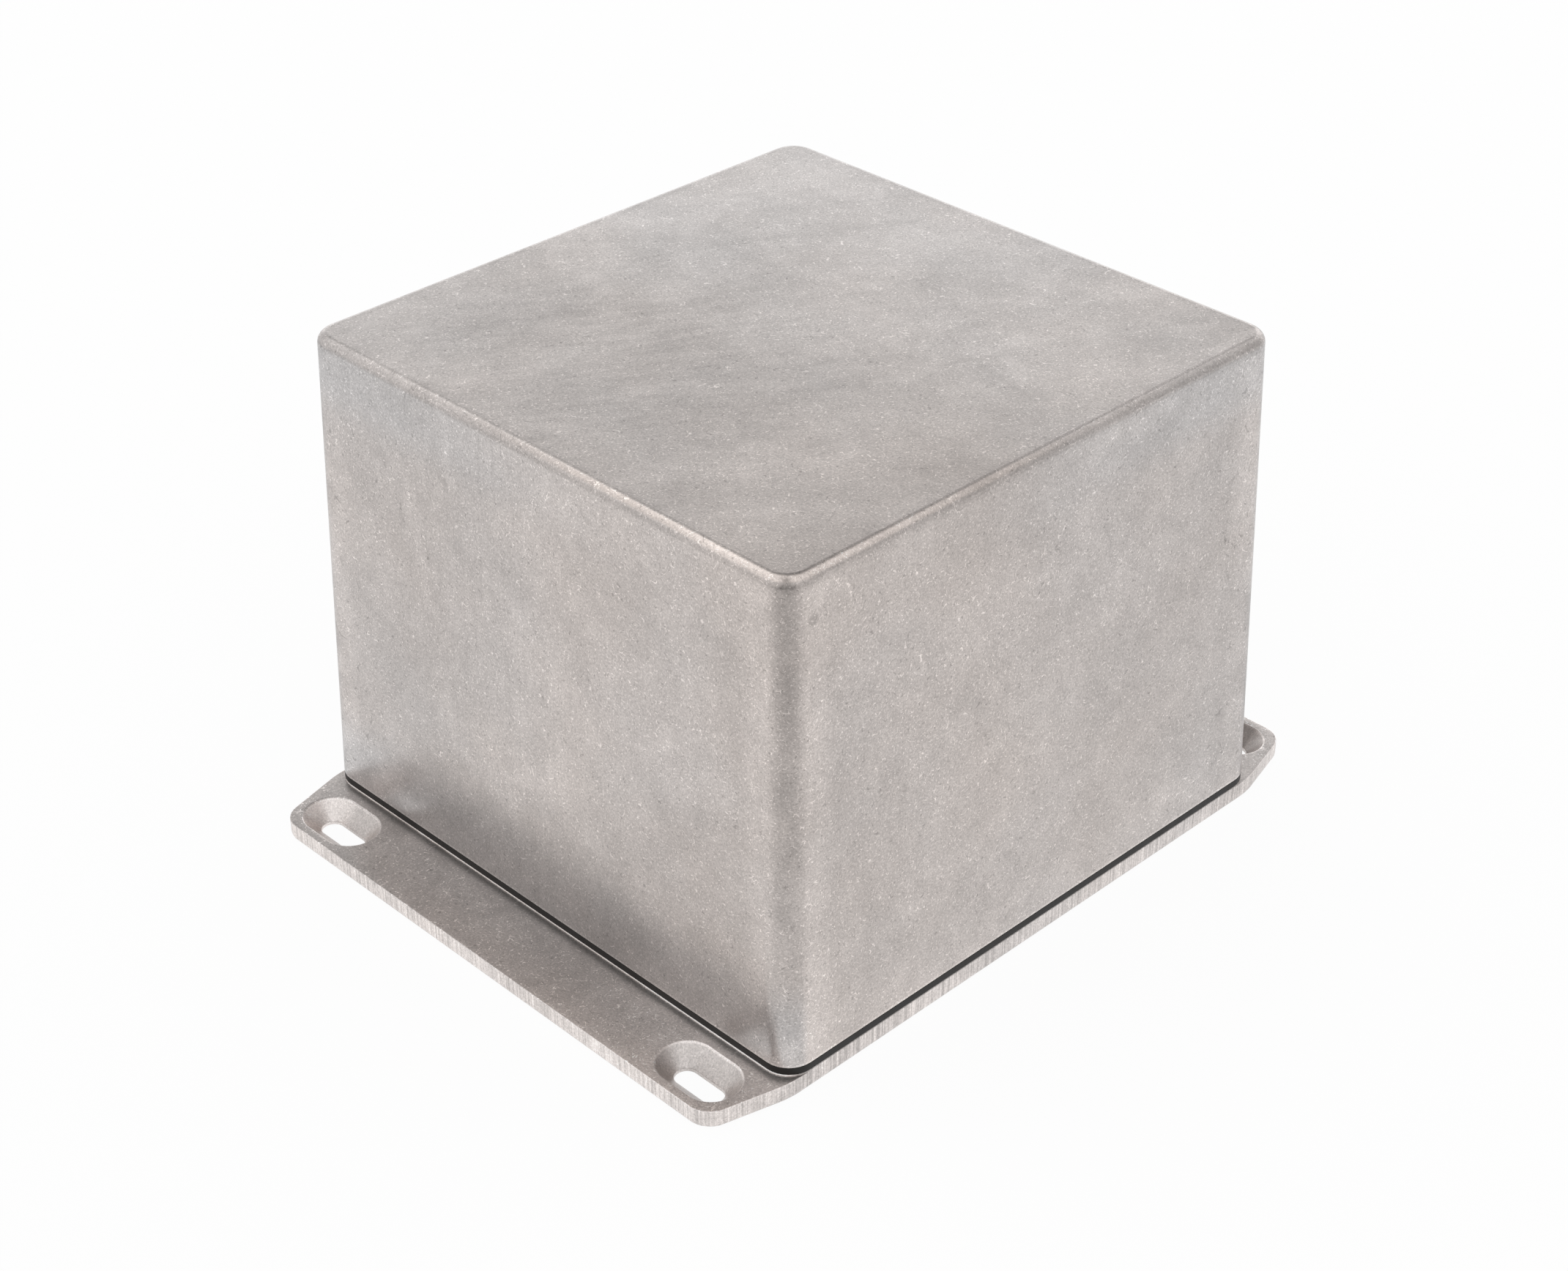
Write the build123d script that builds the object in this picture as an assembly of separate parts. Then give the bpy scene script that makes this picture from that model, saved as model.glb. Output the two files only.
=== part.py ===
from build123d import *
import os

# Sealed die cast aluminium box on a flanged lid, in millimetres.
# The lid lies on the XY plane and its two slotted flanges reach out along Y.
# The body stands on the lid with its open rim down, on a flat gasket,
# and four countersunk screws hold the lid from underneath.

# Body casting
body_width = 120.0
body_depth = 120.0
body_height = 90.0
corner_radius = 5.0
top_edge_radius = 1.8
wall = 3.0
top_wall = 3.5
draft_angle = 1.5
cavity_floor_radius = 1.5
cavity_corner_radius = 2.0

# Screw pillars in the corners of the cavity
screw_inset = 7.0
pillar_radius = 4.5
bore_end_clearance = 3.0

# Lid casting
flange_thickness = 3.8
pad_step = 0.3
flange_reach = 14.65
flange_narrowing = 4.1
shoulder_setback = 0.75
shoulder_radius = 15.0
flange_corner_radius = 4.5
underside_radius = 1.2

# Countersunk mounting slots, long axis along X, a little outside the middle of each flange
slot_width = 4.2
slot_length = 10.2
slot_land = 0.65
slot_flare_angle = 45.0
slot_from_side = 12.6
slot_offset = 0.5

# Locating lip on the lid, which stands inside the open rim
lip_clearance = 0.4
lip_thickness = 1.8
lip_engagement = 3.0

# Gasket between the lid and the rim
gasket_thickness = 1.4

# Lid screws, with a flat 90 degree head and a cross recess
screw_diameter = 4.0
screw_length = 16.0
screw_head_diameter = 7.6
screw_head_rim = 0.3
screw_recess = 0.15
screw_hole_clearance = 0.25
thread_clearance = 0.05
head_clearance = 0.05
cross_width = 1.0
cross_span = 4.4
cross_depth = 1.4

# Levels above the underside of the lid
pad_z = flange_thickness + pad_step
rim_z = pad_z + gasket_thickness

# Pillars measured from the cavity walls, and fillets held within what they round
pillar_reach = screw_inset + pillar_radius - wall
fillet_share = 0.9
root_radius = min(cavity_corner_radius, fillet_share * (screw_inset - wall))
floor_radius = min(cavity_floor_radius, fillet_share * root_radius)

# Screw axes and slot centres
screw_x = body_width / 2 - screw_inset
screw_y = body_depth / 2 - screw_inset
slot_x = body_width / 2 - slot_from_side
slot_y = body_depth / 2 + flange_reach / 2 + slot_offset
corners = [(1, 1), (-1, 1), (-1, -1), (1, -1)]

# Modelling helpers
on_base = (Align.CENTER, Align.CENTER, Align.MIN)
tolerance = 0.001


def outer_section():
    """Outline of the body at its rim, which the pad and the gasket share."""
    return RectangleRounded(body_width, body_depth, corner_radius)


def cavity_plan(inset=0.0):
    """Plan of the cavity at the rim with its corners still sharp, drawn in by an inset."""
    half_x = body_width / 2 - wall - inset
    half_y = body_depth / 2 - wall - inset
    pillar = Rectangle(2 * pillar_reach, 2 * pillar_reach)
    return Rectangle(2 * half_x, 2 * half_y) - [Pos(x * half_x, y * half_y) * pillar for x, y in corners]


def meets_wall(vertex, inset=0.0):
    """True for a corner of the cavity plan where a pillar meets a wall, and not for a pillar's nose."""
    gap_x = body_width / 2 - wall - inset - abs(vertex.X)
    gap_y = body_depth / 2 - wall - inset - abs(vertex.Y)
    return min(gap_x, gap_y) < tolerance


def cavity_section(inset=0.0):
    """Plan of the cavity with round-nosed pillars and rounded roots, drawn in by an inset."""
    plan = cavity_plan(inset)
    plan = fillet([vertex for vertex in plan.vertices() if not meets_wall(vertex, inset)], pillar_radius)
    return fillet([vertex for vertex in plan.vertices() if meets_wall(vertex, inset)], root_radius)


def drafted(plan, height):
    """Solid on the rim that narrows upwards by the draft angle."""
    block = extrude(Pos(0, 0, rim_z) * plan, height)
    return draft(block.faces().filter_by(Axis.Z, reverse=True), Plane.XY.offset(rim_z), draft_angle)


def upright_edges(solid):
    """Edges of a solid that run up its corners."""
    return solid.edges().filter_by(Plane.XY, reverse=True)


def foot(edge):
    """Lowest vertex of an edge."""
    return edge.vertices().sort_by(Axis.Z)[0]


def top_edges(solid):
    """Edges round the highest face of a solid."""
    return solid.faces().sort_by(Axis.Z)[-1].edges()


def at_screws(shape):
    """Copies of a shape on the four screw axes."""
    return [Pos(side_x * screw_x, side_y * screw_y) * shape for side_x, side_y in corners]


def pillar_bore():
    """Cutter for one cored and tapped bore, from the rim to past the tip of its screw."""
    end_z = screw_recess + screw_length + bore_end_clearance
    return Pos(0, 0, rim_z) * Cylinder(screw_diameter / 2 + thread_clearance, end_z - rim_z, align=on_base)


def body_casting():
    """Hollow body: drafted walls, radiused top, and a cored cavity with four tapped pillars."""
    outside = drafted(Rectangle(body_width, body_depth), body_height)
    outside = fillet(upright_edges(outside), corner_radius)
    outside = fillet(top_edges(outside), top_edge_radius)
    cavity = drafted(cavity_plan(), body_height - top_wall)
    cavity = fillet([edge for edge in upright_edges(cavity) if not meets_wall(foot(edge))], pillar_radius)
    cavity = fillet([edge for edge in upright_edges(cavity) if meets_wall(foot(edge))], root_radius)
    cavity = fillet(top_edges(cavity), floor_radius)
    return outside - cavity - at_screws(pillar_bore())


def flange_outline():
    """Plan of the lid: as wide as the body, narrowing along each flange from a rounded shoulder."""
    shoulder_x = body_width / 2
    shoulder_y = body_depth / 2 - shoulder_setback
    end_x = body_width / 2 - flange_narrowing
    end_y = body_depth / 2 + flange_reach
    quarter = [(shoulder_x, shoulder_y), (end_x, end_y)]
    one_end = quarter + [(-x, y) for x, y in reversed(quarter)]
    other_end = [(-x, -y) for x, y in one_end]
    plan = make_face(Polyline(*one_end, *other_end, close=True))
    ends = [vertex for vertex in plan.vertices() if abs(vertex.Y) > shoulder_y + tolerance]
    plan = fillet(ends, flange_corner_radius)
    shoulders = [vertex for vertex in plan.vertices() if abs(abs(vertex.X) - shoulder_x) < tolerance]
    return fillet(shoulders, shoulder_radius)


def mounting_slot():
    """Cutter for one slot: straight at the bottom, then opening out to the flange top."""
    throat = SlotOverall(slot_length, slot_width)
    flare = extrude(Pos(0, 0, slot_land) * throat, flange_thickness - slot_land, taper=-slot_flare_angle)
    return extrude(throat, flange_thickness) + flare


def countersink():
    """Cutter for one lid screw: clearance hole and a 90 degree seat open to the underside."""
    hole_radius = screw_diameter / 2 + screw_hole_clearance
    seat_radius = screw_head_diameter / 2 + screw_recess + screw_head_rim + head_clearance
    hole = Cylinder(hole_radius, pad_z, align=on_base)
    return hole + Cone(seat_radius, hole_radius, seat_radius - hole_radius, align=on_base)


def flanged_lid():
    """Lid casting: flanges with slots, a raised pad for the gasket, and a lip that locates the body."""
    plate = extrude(flange_outline(), flange_thickness)
    plate = fillet(plate.faces().sort_by(Axis.Z)[0].edges(), underside_radius)
    pad = Pos(0, 0, flange_thickness) * extrude(outer_section(), pad_step)
    lip_plan = cavity_section(lip_clearance) - cavity_section(lip_clearance + lip_thickness)
    lip = Pos(0, 0, pad_z) * extrude(lip_plan, gasket_thickness + lip_engagement)
    slots = [Pos(side_x * slot_x, side_y * slot_y) * mounting_slot() for side_x, side_y in corners]
    return plate + pad + lip - slots - at_screws(countersink())


def gasket():
    """Flat gasket with the plan of the rim: flush outside, open over the cavity, pierced for the screws."""
    hole = Circle(screw_diameter / 2 + screw_hole_clearance)
    plan = outer_section() - cavity_section() - at_screws(hole)
    return Pos(0, 0, pad_z) * extrude(plan, gasket_thickness)


def lid_screw():
    """Countersunk screw standing on its head, with its cross recess in the underside."""
    head_radius = screw_head_diameter / 2
    shank_radius = screw_diameter / 2
    cone_top = screw_head_rim + head_radius - shank_radius
    half_profile = Polyline(
        (0, 0),
        (head_radius, 0),
        (head_radius, screw_head_rim),
        (shank_radius, cone_top),
        (shank_radius, screw_length),
        (0, screw_length),
        close=True,
    )
    screw = revolve(Plane.XZ * make_face(half_profile), Axis.Z)
    cross = Rectangle(cross_span, cross_width) + Rectangle(cross_width, cross_span)
    return Pos(0, 0, screw_recess) * (screw - extrude(cross, cross_depth))


def main():
    os.makedirs("parts", exist_ok=True)
    pieces = {"body_casting": body_casting(), "flanged_lid": flanged_lid(), "gasket": gasket()}
    for number, screw in enumerate(at_screws(lid_screw()), start=1):
        pieces[f"lid_screw_{number}"] = screw
    for name, piece in pieces.items():
        export_step(piece, f"parts/{name}.step")


main()
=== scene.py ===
# %% [markdown]
# # A die cast aluminium box on a flanged lid
#
# The real object is a sealed box for electronics. Its body is one deep casting that stands
# with the open rim down. A flat gasket and a lid with two slotted flanges close it, and four
# countersunk screws hold the lid from underneath.
#
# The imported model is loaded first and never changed. It says where every piece is and how big
# it is, so each new piece below takes its place and its main sizes from there.

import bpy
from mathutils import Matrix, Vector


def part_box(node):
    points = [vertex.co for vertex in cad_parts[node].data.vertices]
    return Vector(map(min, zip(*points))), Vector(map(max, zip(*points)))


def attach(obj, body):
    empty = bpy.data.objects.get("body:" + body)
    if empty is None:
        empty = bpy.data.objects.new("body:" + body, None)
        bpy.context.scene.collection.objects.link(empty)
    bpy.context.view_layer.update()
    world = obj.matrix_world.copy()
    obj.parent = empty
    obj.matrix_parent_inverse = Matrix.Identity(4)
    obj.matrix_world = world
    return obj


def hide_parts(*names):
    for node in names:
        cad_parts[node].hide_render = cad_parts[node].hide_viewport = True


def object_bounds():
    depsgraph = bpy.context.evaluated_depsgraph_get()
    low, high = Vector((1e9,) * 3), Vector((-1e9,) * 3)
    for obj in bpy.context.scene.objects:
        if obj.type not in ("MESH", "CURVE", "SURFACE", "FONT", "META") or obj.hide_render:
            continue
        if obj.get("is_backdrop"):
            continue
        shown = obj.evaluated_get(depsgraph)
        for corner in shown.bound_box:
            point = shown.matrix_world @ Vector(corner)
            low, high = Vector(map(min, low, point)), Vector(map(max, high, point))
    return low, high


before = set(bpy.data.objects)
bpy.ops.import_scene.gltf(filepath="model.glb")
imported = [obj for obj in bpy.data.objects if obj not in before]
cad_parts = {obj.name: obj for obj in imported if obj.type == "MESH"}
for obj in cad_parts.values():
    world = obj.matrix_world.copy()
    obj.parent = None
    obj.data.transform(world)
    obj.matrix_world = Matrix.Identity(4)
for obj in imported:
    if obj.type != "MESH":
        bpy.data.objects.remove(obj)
cad_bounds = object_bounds()
print("nodes:", sorted(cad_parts))
print("box of the packed model:", [[round(value, 5) for value in corner] for corner in cad_bounds])

# %% [markdown]
# ## Sizes
#
# Blender works in metres and castings are drawn in millimetres, so small sizes are written as
# a number times MM, or several at once in mm(). Large sizes are read from the boxes of the
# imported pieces. Only what a box can't tell, such as a radius or a wall, is written down.

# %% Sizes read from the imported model
import math
from mathutils import Matrix, Vector
import bmesh
import bpy

MM = 0.001
TINY = 0.002 * MM


def mm(*lengths):
    """Lengths in millimetres, turned into metres."""
    return tuple(length * MM for length in lengths)


body_low, body_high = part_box("body_casting")
lid_low, lid_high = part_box("flanged_lid")
gasket_low, gasket_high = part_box("gasket")
screw_low, screw_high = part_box("lid_screw_1")

BODY_WIDTH = body_high[0] - body_low[0]
BODY_DEPTH = body_high[1] - body_low[1]
TOP_Z = body_high[2]
RIM_Z = body_low[2]
PAD_Z = gasket_low[2]
LIP_Z = lid_high[2]
LID_LENGTH = lid_high[1] - lid_low[1]
SCREW_X = abs(screw_low[0] + screw_high[0]) / 2
SCREW_Y = abs(screw_low[1] + screw_high[1]) / 2
HEAD_Z = screw_low[2]
TIP_Z = screw_high[2]
CORNERS = [(1, 1), (-1, 1), (-1, -1), (1, -1)]
print(f"body {BODY_WIDTH / MM:.2f} x {BODY_DEPTH / MM:.2f} mm,",
      f"rim at {RIM_Z / MM:.2f}, top at {TOP_Z / MM:.2f}")
print(f"lid {LID_LENGTH / MM:.2f} mm long, pad at {PAD_Z / MM:.2f},",
      f"screws at {SCREW_X / MM:.2f}, {SCREW_Y / MM:.2f}")

# %% Sizes of walls, radii and slots
CORNER_RADIUS = 5 * MM
TOP_RADIUS = 1.8 * MM
RIM_EASE = 0.08 * MM
DRAFT = math.radians(1.5)
WALL = 3 * MM
TOP_WALL = 3.5 * MM
CAVITY_FLOOR_RADIUS = 1.5 * MM
CAVITY_CORNER_RADIUS = 2 * MM
PILLAR_RADIUS = 4.5 * MM
PILLAR_REACH = BODY_WIDTH / 2 - SCREW_X + PILLAR_RADIUS - WALL
BORE_RADIUS = 2.05 * MM
BORE_TOP = TIP_Z + 3 * MM

FLANGE_Z = PAD_Z - 0.3 * MM
FLANGE_NARROWING = 4.1 * MM
SHOULDER_SETBACK = 0.75 * MM
SHOULDER_RADIUS = 15 * MM
FLANGE_CORNER_RADIUS = 4.5 * MM
UNDERSIDE_RADIUS = 1.2 * MM
EDGE_EASE = 0.18 * MM
PAD_EASE = 0.26 * MM
SLOT_X = BODY_WIDTH / 2 - 12.6 * MM
SLOT_Y = (BODY_DEPTH / 2 + LID_LENGTH / 2) / 2 + 0.5 * MM
SLOT_WIDTH = 4.2 * MM
SLOT_LENGTH = 10.2 * MM
SLOT_LAND = 0.65 * MM
SCREW_HOLE_RADIUS = 2.25 * MM
SEAT_RADIUS = 4.3 * MM
LIP_CLEARANCE = 0.4 * MM
LIP_THICKNESS = 1.8 * MM

HEAD_RADIUS = (screw_high[0] - screw_low[0]) / 2
HEAD_RIM = 0.3 * MM
SHANK_RADIUS = 2 * MM
THREAD_DEPTH = 0.36 * MM
THREAD_PITCH = 0.7 * MM
print(f"slots at {SLOT_X / MM:.2f}, {SLOT_Y / MM:.2f} mm;",
      f"pillars reach {PILLAR_REACH / MM:.2f} mm from the walls")

# %% [markdown]
# ## Helpers for flat plans and drafted blocks
#
# A casting is easiest to build as its pattern maker sees it: a flat plan, drawn up with draft,
# and rounded last. A plan here is one face from a grid whose corners are rounded by a bevel of
# its vertices. Where two sides meet at a right angle, the bevel's offset is the radius itself.

# %% Plans
CORNER_STEPS = 8


def vertices_in(items):
    """The vertices among a list of new bmesh items."""
    return [item for item in items if isinstance(item, bmesh.types.BMVert)]


def faces_in(items):
    """The faces among a list of new bmesh items."""
    return [item for item in items if isinstance(item, bmesh.types.BMFace)]


def round_corners(bm, corners, offset, steps=CORNER_STEPS):
    """Round flat corners with arcs that start at the offset from each one, and return a new vertex."""
    made = bmesh.ops.bevel(bm, geom=corners, affect="VERTICES", offset=offset, segments=steps, profile=0.5,
                           material=-1)
    return made["verts"][0]


def round_edges(bm, edges, offset, steps):
    """Round edges with a bevel of a circular profile."""
    bmesh.ops.bevel(bm, geom=list(edges), affect="EDGES", offset=offset, segments=steps, profile=0.5,
                    material=-1)


def rectangle_plan(bm, width, depth, radius, z):
    """One flat face: a rectangle with rounded corners."""
    grid = bmesh.ops.create_grid(bm, x_segments=1, y_segments=1, size=0.5)["verts"]
    bmesh.ops.scale(bm, vec=(width, depth, 1), verts=grid)
    bmesh.ops.translate(bm, vec=(0, 0, z), verts=grid)
    return round_corners(bm, grid, radius).link_faces[0]


def cross_plan(bm, half_x, half_y, notch, z):
    """One flat face: a rectangle with a square notch out of each corner, its corners still sharp."""
    grid = bmesh.ops.create_grid(bm, x_segments=3, y_segments=3, size=1)["verts"]
    for vert in grid:
        outer_x, outer_y = abs(vert.co.x) > 0.5, abs(vert.co.y) > 0.5
        vert.co.x = math.copysign(half_x if outer_x else half_x - notch, vert.co.x)
        vert.co.y = math.copysign(half_y if outer_y else half_y - notch, vert.co.y)
        vert.co.z = z
    faces = {face for vert in grid for face in vert.link_faces}
    corner_faces = {vert.link_faces[0] for vert in grid if len(vert.link_faces) == 1}
    bmesh.ops.delete(bm, geom=list(corner_faces), context="FACES")
    return bmesh.ops.dissolve_faces(bm, faces=list(faces - corner_faces))["region"][0]


def cavity_plan(bm, inset, z):
    """One flat face with the plan of the cavity: round-nosed pillars in its corners, and rounded roots."""
    half_x = BODY_WIDTH / 2 - WALL - inset
    half_y = BODY_DEPTH / 2 - WALL - inset
    plan = cross_plan(bm, half_x, half_y, PILLAR_REACH, z)
    roots = [v for v in plan.verts if abs(v.co.x) > half_x - TINY or abs(v.co.y) > half_y - TINY]
    noses = [v for v in plan.verts if v not in roots]
    round_corners(bm, noses, PILLAR_RADIUS)
    return round_corners(bm, roots, CAVITY_CORNER_RADIUS, 5).link_faces[0]


# %% Blocks, rings and flat faces with holes
def draw_up(bm, face, height, inset=0.0):
    """Extrude a flat face upwards and return the new top.

    An inset draws the top in, and each upright corner keeps its radius.
    """
    raised = bmesh.ops.extrude_face_region(bm, geom=[face])["geom"]
    for vert in vertices_in(raised):
        vert.co.x -= math.copysign(inset, vert.co.x)
        vert.co.y -= math.copysign(inset, vert.co.y)
        vert.co.z += height
    return faces_in(raised)[0]


def lies_at(item, z):
    """True for an edge or a face that lies flat at a height."""
    return all(abs(vert.co.z - z) < TINY for vert in item.verts)


def meets(item, z):
    """True for an edge or a face with a vertex at a height."""
    return any(abs(vert.co.z - z) < TINY for vert in item.verts)


def flat_face(bm, z):
    """The largest face that lies flat at a height."""
    return max((face for face in bm.faces if lies_at(face, z)), key=lambda face: face.calc_area())


def ring(bm, centre, radius, z, half_straight=0.0, steps=48):
    """A loop of edges at a height: a circle, or a slot when its two halves are moved apart along X."""
    turn = Matrix.Rotation(math.pi / steps, 4, "Z")
    verts = bmesh.ops.create_circle(bm, cap_ends=False, segments=steps, radius=radius, matrix=turn)["verts"]
    for vert in verts:
        vert.co.x += math.copysign(half_straight, vert.co.x)
    bmesh.ops.translate(bm, vec=(centre[0], centre[1], z), verts=verts)
    return list({edge for vert in verts for edge in vert.link_edges})


def tube(bm, centre, profile, half_straight=0.0):
    """Walls through rings of the given (radius, height) pairs. Returns the first and the last ring."""
    rings = [ring(bm, centre, radius, z, half_straight) for radius, z in profile]
    for one, other in zip(rings, rings[1:]):
        bmesh.ops.bridge_loops(bm, edges=one + other)
    return rings[0], rings[-1]


def open_face(bm, face):
    """Take a face out and return the edges round the opening."""
    border = list(face.edges)
    bmesh.ops.delete(bm, geom=[face], context="FACES_ONLY")
    return border


def fill(bm, loops):
    """Fill the flat area between loops of edges with triangles."""
    edges = [edge for loop in loops for edge in loop]
    bmesh.ops.triangle_fill(bm, edges=edges, use_beauty=True)


# %% [markdown]
# ## From a bmesh to a finished piece
#
# Every piece is finished in the same way. Its normals are made to point outwards, each edge
# sharper than a limit is marked, and a Weighted Normal modifier keeps the large faces flat and
# puts all of the turning into the small rounded ones. That is what makes an edge catch light
# as a cast one does. The piece then rides on the body that carries it and stands for its node.

# %% Finishing a piece
SHARP_ANGLE = math.radians(38)


def finish_piece(bm, name, node, material):
    """Turn a bmesh into a smooth-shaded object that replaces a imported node."""
    bmesh.ops.recalc_face_normals(bm, faces=bm.faces)
    for edge in bm.edges:
        edge.smooth = len(edge.link_faces) == 2 and edge.calc_face_angle(0) < SHARP_ANGLE
    for face in bm.faces:
        face.smooth = True
    open_edges = sum(1 for edge in bm.edges if len(edge.link_faces) != 2)
    mesh = bpy.data.meshes.new(name)
    bm.to_mesh(mesh)
    volume = bm.calc_volume(signed=True)
    bm.free()
    piece = bpy.data.objects.new(name, mesh)
    bpy.context.scene.collection.objects.link(piece)
    mesh.materials.append(material)
    weighted = piece.modifiers.new("Weighted Normal", "WEIGHTED_NORMAL")
    weighted.keep_sharp = True
    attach(piece, "root")
    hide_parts(node)
    print(f"{name}: {len(mesh.polygons)} faces, {open_edges} open edges, {volume / MM ** 3:.0f} cubic mm")


# %% [markdown]
# ## Plain materials to start with
#
# The materials are made empty here and filled in after the modelling, so that every piece can
# take its own as soon as it is finished.

# %% Four materials
def new_material(name):
    """A material with nothing but its output and a Principled shader."""
    material = bpy.data.materials.new(name)
    material.use_nodes = True
    return material


body_metal = new_material("tumbled_body_casting")
lid_metal = new_material("tumbled_lid_casting")
gasket_rubber = new_material("black_gasket_rubber")
screw_metal = new_material("turned_screw_steel")
print("materials:", [m.name for m in (body_metal, lid_metal, gasket_rubber, screw_metal)])

# %% [markdown]
# ## The body casting
#
# The outside is a rounded square drawn up with 1.5 degrees of draft, so that the casting leaves
# its die. The cavity is a second block inside it, with the plan of the four pillars, and both
# share the rim. The bores are rings drawn up into the pillars. At the rim all their openings are
# filled as one flat face with holes.

# %% Body
EDGE_STEPS = 8


def bevel_offset(radius, turn):
    """How far from an edge its rounding starts, when the surface turns by an angle there."""
    return radius * math.tan(turn / 2)


def body_casting():
    """Hollow body with drafted walls, a radiused top and four tapped pillars."""
    bm = bmesh.new()
    height = TOP_Z - RIM_Z
    plan = rectangle_plan(bm, BODY_WIDTH, BODY_DEPTH, CORNER_RADIUS, RIM_Z)
    top = draw_up(bm, plan, height, height * math.tan(DRAFT))
    round_edges(bm, top.edges, bevel_offset(TOP_RADIUS, math.pi / 2 - DRAFT), EDGE_STEPS)
    round_edges(bm, flat_face(bm, RIM_Z).edges, RIM_EASE, 2)
    loops = [open_face(bm, flat_face(bm, RIM_Z))]
    cavity_height = height - TOP_WALL
    plan = cavity_plan(bm, 0.0, RIM_Z)
    ceiling = draw_up(bm, plan, cavity_height, cavity_height * math.tan(DRAFT))
    loops.append(open_face(bm, plan))
    round_edges(bm, ceiling.edges, bevel_offset(CAVITY_FLOOR_RADIUS, math.pi / 2 - DRAFT), 4)
    for side_x, side_y in CORNERS:
        centre = (side_x * SCREW_X, side_y * SCREW_Y)
        rim_ring, end_ring = tube(bm, centre, [(BORE_RADIUS, RIM_Z), (BORE_RADIUS, BORE_TOP)])
        bmesh.ops.edgeloop_fill(bm, edges=end_ring)
        loops.append(rim_ring)
    fill(bm, loops)
    return bm


finish_piece(body_casting(), "body_shell", "body_casting", body_metal)

# %% [markdown]
# ## The flanged lid
#
# The lid's plan is the square pad plus two flanges that narrow outwards. The pad's plan comes
# first, and each flange is one more face that joins the pad's edge to four new corners. All
# three are drawn down together, and the pad alone is then drawn up by its small step. The slots
# are rings: a wide mouth, a 45 degree flare and a short straight land.

# %% Plan of the lid
def flange_face(bm, pad, side):
    """Face of one flange, from the pad's edge out to four sharp corners, which it returns too."""
    shoulder_y = BODY_DEPTH / 2 - SHOULDER_SETBACK
    start = BODY_DEPTH / 2 - CORNER_RADIUS - TINY
    inner = sorted((v for v in pad.verts if side * v.co.y > start), key=lambda v: side * v.co.x)
    shoulder_x, end_x = side * BODY_WIDTH / 2, side * (BODY_WIDTH / 2 - FLANGE_NARROWING)
    shoulders = [bm.verts.new((x, side * shoulder_y, FLANGE_Z)) for x in (shoulder_x, -shoulder_x)]
    ends = [bm.verts.new((x, side * LID_LENGTH / 2, FLANGE_Z)) for x in (end_x, -end_x)]
    bm.faces.new(inner + [shoulders[0], *ends, shoulders[1]])
    return shoulders, ends


def lid_plan(bm):
    """Pad and two flanges as three flat faces at the height of the flanges. Returns the pad."""
    pad = rectangle_plan(bm, BODY_WIDTH, BODY_DEPTH, CORNER_RADIUS, FLANGE_Z)
    slope = math.atan2(FLANGE_NARROWING, LID_LENGTH / 2 - BODY_DEPTH / 2 + SHOULDER_SETBACK)
    for side in (1, -1):
        shoulders, ends = flange_face(bm, pad, side)
        round_corners(bm, ends, bevel_offset(FLANGE_CORNER_RADIUS, math.pi / 2 - slope), 8)
        round_corners(bm, shoulders, bevel_offset(SHOULDER_RADIUS, slope), 5)
    return flat_face(bm, FLANGE_Z)


# %% Holes of the lid
def eased_corner(radius, z, ease):
    """Three (radius, height) pairs that round the edge from a flat face into a 45 degree flare."""
    return [(radius + ease, z), (radius + 0.08 * ease, z - 0.18 * ease),
            (radius - 0.7 * ease, z - 0.7 * ease)]


def slot_walls(bm, centre):
    """Walls of one mounting slot. Returns its rings in the flange's top and in the underside."""
    throat = SLOT_WIDTH / 2
    mouth = throat + FLANGE_Z - SLOT_LAND
    profile = eased_corner(mouth, FLANGE_Z, EDGE_EASE)
    profile += [(throat + 0.08 * MM, SLOT_LAND + 0.08 * MM), (throat, SLOT_LAND - 0.08 * MM), (throat, 0)]
    return tube(bm, centre, profile, (SLOT_LENGTH - SLOT_WIDTH) / 2)


def screw_hole(bm, centre):
    """Walls of one countersunk screw hole. Returns its rings in the pad and in the underside."""
    seat_top = SEAT_RADIUS - SCREW_HOLE_RADIUS
    return tube(bm, centre, [(SCREW_HOLE_RADIUS, PAD_Z), (SCREW_HOLE_RADIUS, seat_top), (SEAT_RADIUS, 0)])


# %% The lid without its holes
def lid_block(bm):
    """Plate with a rounded underside, and the pad on it."""
    foot = lid_plan(bm)
    lowered = bmesh.ops.extrude_face_region(bm, geom=list(bm.faces))["geom"]
    bmesh.ops.translate(bm, vec=(0, 0, -FLANGE_Z), verts=vertices_in(lowered))
    underside = bmesh.ops.dissolve_faces(bm, faces=faces_in(lowered), use_verts=True)["region"][0]
    round_edges(bm, underside.edges, UNDERSIDE_RADIUS, 6)
    draw_up(bm, foot, PAD_Z - FLANGE_Z)
    bmesh.ops.delete(bm, geom=[foot], context="FACES_ONLY")


def ease_lid_edges(bm):
    """Ease the edges of the flanges and the pad. Pad and plate are flush at the sides, so not there."""
    at_side = [e for e in bm.edges if all(abs(abs(v.co.x) - BODY_WIDTH / 2) < TINY for v in e.verts)]
    flush = [e for e in at_side if lies_at(e, FLANGE_Z) and abs(e.verts[0].co.y + e.verts[1].co.y) < TINY]
    bmesh.ops.dissolve_edges(bm, edges=flush)
    flange_tops = [face for face in bm.faces if lies_at(face, FLANGE_Z)]
    border = [e for face in flange_tops for e in face.edges
              if e not in at_side and not any(meets(linked, PAD_Z) for linked in e.link_faces)]
    round_edges(bm, border, EDGE_EASE, 2)
    round_edges(bm, flat_face(bm, PAD_Z).edges, PAD_EASE, 2)
    bmesh.ops.remove_doubles(bm, verts=bm.verts, dist=TINY)


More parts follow.
